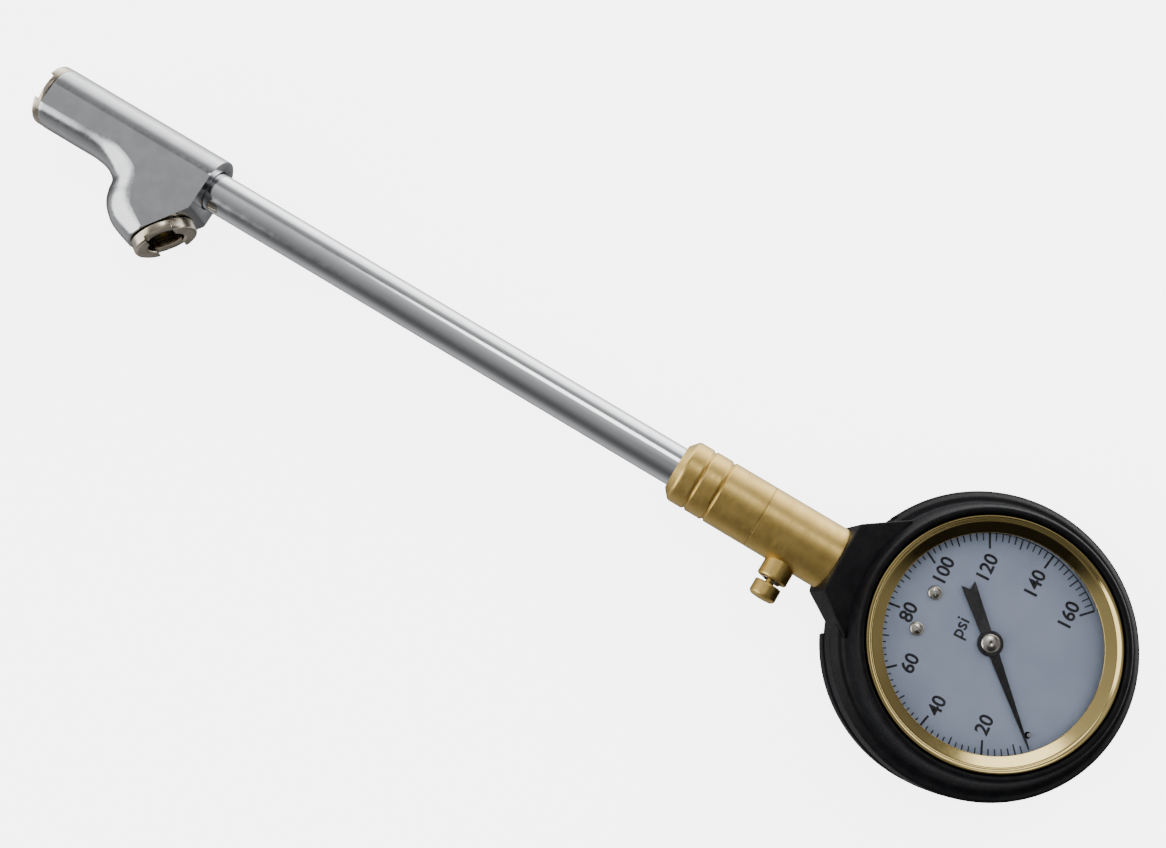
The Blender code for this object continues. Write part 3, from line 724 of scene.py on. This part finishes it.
def boot_neck():
    """The block that the stem comes out of, widening towards the boot."""
    widening = math.tan(math.radians(35.8))
    half, top, end, root = 8.45, -6.0, -36.4, -27.0
    share = (half + widening * (root - end)) / half
    section = [(half, top), (half, -20.5), (4.4, -26.6), (-4.4, -26.6), (-half, -20.5), (-half, top)]
    near = [(end - 0.1 * (top - z), y, z) for y, z in section]
    far = [(root, y * share, z) for y, z in section]
    neck = solid("neck", swept([near, far]), "rubber")
    modifier = neck.modifiers.new("bevel", "BEVEL")
    modifier.width = 0.5 * MM
    modifier.segments = 3
    return applied(neck)


def boot():
    profile = rounded([
        (0, -BOOT_DEPTH + 0.8, 0), (20, -BOOT_DEPTH + 0.8, 0.4), (21, -BOOT_DEPTH, 0.3),
        (32.6, -BOOT_DEPTH, 0.5), (BOOT_BACK_R, -29.4, 0.5), (BOOT_R - 0.1, -22.6, 0.35),
        (32.6, -22.4, 0.2), (32.6, -17.6, 0.2), (BOOT_R, -17.4, 0.35), (BOOT_R, -9.6, 0.5),
        (33.4, -9.3, 0.3), (32.3, -8.0, 0.6), (31.1, -7.9, 0.9), (30.5, -6.0, 0.5), (29.5, -0.3, 0.7),
        (28.9, 0.35, 0.3), (28.1, 0.3, 0.3), (27.8, -0.3, 0.2), (27.8, -6.0, 0), (CASE_ROOM_R, -6.0, 0),
        (CASE_ROOM_R, -28.2, 0), (0, -28.2, 0),
    ], 4)
    body = solid("boot_shell", turned(profile, 192), "rubber")
    spread = math.radians(26)
    wedge = arc((0, 0), 32.35, math.pi - spread, math.pi + spread, 40)
    wedge += arc((0, 0), 40, math.pi + spread, math.pi - spread, 40)
    combined(body, [solid("band_gap", extruded(wedge, -BOOT_DEPTH - 1, -9.0), "rubber")])
    combined(body, [boot_neck()], "UNION")
    tools = [
        solid("stem_hole", disc(BRASS_R + 0.2, -45, -20, 96), "rubber", stem_frame()),
        solid("case_room", disc(CASE_ROOM_R, -28.2, -6.0, 192), "rubber"),
        solid("rim_room", disc(27.8, -6.1, 2.0, 192), "rubber"),
    ]
    combined(body, tools)
    finished(body, "gauge", ["rubber_boot"], angle=38)


CARRIED = {
    "brass": (
        "front_valve_pin", "foot_valve_pin", "stem_socket", "bourdon_tube", "tube_tip", "movement_link",
        "sector_gear", "bottom_plate", "top_plate", "pillar_1", "pillar_2", "pillar_3", "hairspring_peg",
    ),
    "steel": (
        "stop_pin", "pinion_arbor", "hairspring", "movement_screw_1", "movement_screw_2",
        "movement_screw_3",
    ),
    "seal": ("front_seal", "foot_seal", "coupling_oring", "bleed_seal", "lens_gasket"),
    "case": ("case",),
    "lens": ("lens",),
}


def carry_nodes():
    """CAD nodes that keep their shape get the scene's materials."""
    for look, names in CARRIED.items():
        for name in names:
            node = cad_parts[name]
            for slot in node.material_slots:
                slot.link = "OBJECT"
                slot.material = MATS[look]


# ---- studio ----

def paper():
    """A pale floor that glows a little and doesn't show in metal."""
    reach = 1.6
    bm = bmesh.new()
    sheet = [bm.verts.new((x * reach, y * reach, 0)) for x, y in ((-1, -1), (1, -1), (1, 1), (-1, 1))]
    bm.faces.new(sheet)
    mesh = bpy.data.meshes.new("floor")
    bm.to_mesh(mesh)
    bm.free()
    floor_mat, _, _, shader = shader_of("floor_paper")
    shader.inputs["Base Color"].default_value = (0.92, 0.92, 0.92, 1)
    shader.inputs["Roughness"].default_value = 0.9
    shader.inputs["Emission Color"].default_value = (1.0, 1.0, 1.0, 1)
    shader.inputs["Emission Strength"].default_value = FLOOR_GLOW
    mesh.materials.append(floor_mat)
    floor = bpy.data.objects.new("floor", mesh)
    floor.visible_glossy = False
    floor.location.z = -0.0005
    bpy.context.scene.collection.objects.link(floor)


def area(name, place, size, power):
    """A soft square light that faces the middle of the object; metal shows the room, not the light."""
    data = bpy.data.lights.new(name, "AREA")
    data.size = size
    data.energy = power
    light = bpy.data.objects.new(name, data)
    light.location = place
    light.rotation_euler = (-Vector(place)).to_track_quat("-Z", "Y").to_euler()
    light.visible_glossy = False
    bpy.context.scene.collection.objects.link(light)


def math_node(nodes, links, operation, first, second):
    node = nodes.new("ShaderNodeMath")
    node.operation = operation
    links.new(first, node.inputs[0])
    links.new(second, node.inputs[1])
    return node.outputs["Value"]


def spot(nodes, links, place, towards, edge, outside, inside):
    """A round soft-edged part of the room, as a number that goes from outside to inside."""
    facing = nodes.new("ShaderNodeVectorMath")
    facing.operation = "DOT_PRODUCT"
    facing.inputs[1].default_value = Vector(towards).normalized()
    links.new(place, facing.inputs[0])
    return ranged(nodes, links, facing.outputs["Value"], outside, inside, *edge)


def room():
    """The world: light and dark stripes along the stem, with round shades and softboxes."""
    world = bpy.data.worlds.new("studio")
    bpy.context.scene.world = world
    world.use_nodes = True
    nodes, links = world.node_tree.nodes, world.node_tree.links
    place = nodes.new("ShaderNodeTexCoord").outputs["Generated"]
    parts = nodes.new("ShaderNodeSeparateXYZ")
    links.new(place, parts.inputs["Vector"])
    around = math_node(nodes, links, "ARCTAN2", parts.outputs["Y"], parts.outputs["Z"])
    ramp = nodes.new("ShaderNodeValToRGB")
    links.new(ranged(nodes, links, around, 0, 1, -math.pi, math.pi), ramp.inputs["Fac"])
    elements = ramp.color_ramp.elements
    elements[0].color = elements[1].color = (ROOM_END, ROOM_END, ROOM_END, 1)
    for degrees, level in ROOM_LEVELS:
        elements.new(degrees / 360 + 0.5).color = (level, level, level, 1)
    light = ramp.outputs["Color"]
    for towards, edge, level in SHADES:
        shade = spot(nodes, links, place, towards, edge, 1.0, level)
        light = math_node(nodes, links, "MULTIPLY", light, shade)
    for towards, edge, level in SOFTBOXES:
        softbox = spot(nodes, links, place, towards, edge, 0.0, level)
        light = math_node(nodes, links, "ADD", light, softbox)
    links.new(light, nodes["Background"].inputs["Color"])
    nodes["Background"].inputs["Strength"].default_value = ROOM_STRENGTH


def studio():
    paper()
    area("overhead", (0.0, -0.1, 0.9), 0.9, OVERHEAD_POWER)
    area("side", (0.25, 0.75, 0.55), 0.5, SIDE_POWER)
    room()


def camera():
    data = bpy.data.cameras.new("camera")
    data.sensor_width = 36.0
    data.lens = CAMERA_LENS
    data.clip_start = 0.01
    eye = bpy.data.objects.new("camera", data)
    back = -Vector(CAMERA_FORWARD).normalized()
    right = Vector(CAMERA_UP).cross(back).normalized()
    turn = Matrix((right, back.cross(right), back)).transposed().to_4x4()
    eye.matrix_world = Matrix.Translation(GAUGE.translation + Vector(CAMERA_AT) * MM) @ turn
    bpy.context.scene.collection.objects.link(eye)
    bpy.context.scene.camera = eye


chuck()
ring("front_ring", "front_retainer", front_frame(), FRONT_RING)
ring("foot_ring", "foot_retainer", foot_frame(), FOOT_RING)
springs()
tube()
coupling()
bleed_valve()
bezel()
dial()
dial_print()
dial_screws()
pointer()
boot()
carry_nodes()
studio()
camera()
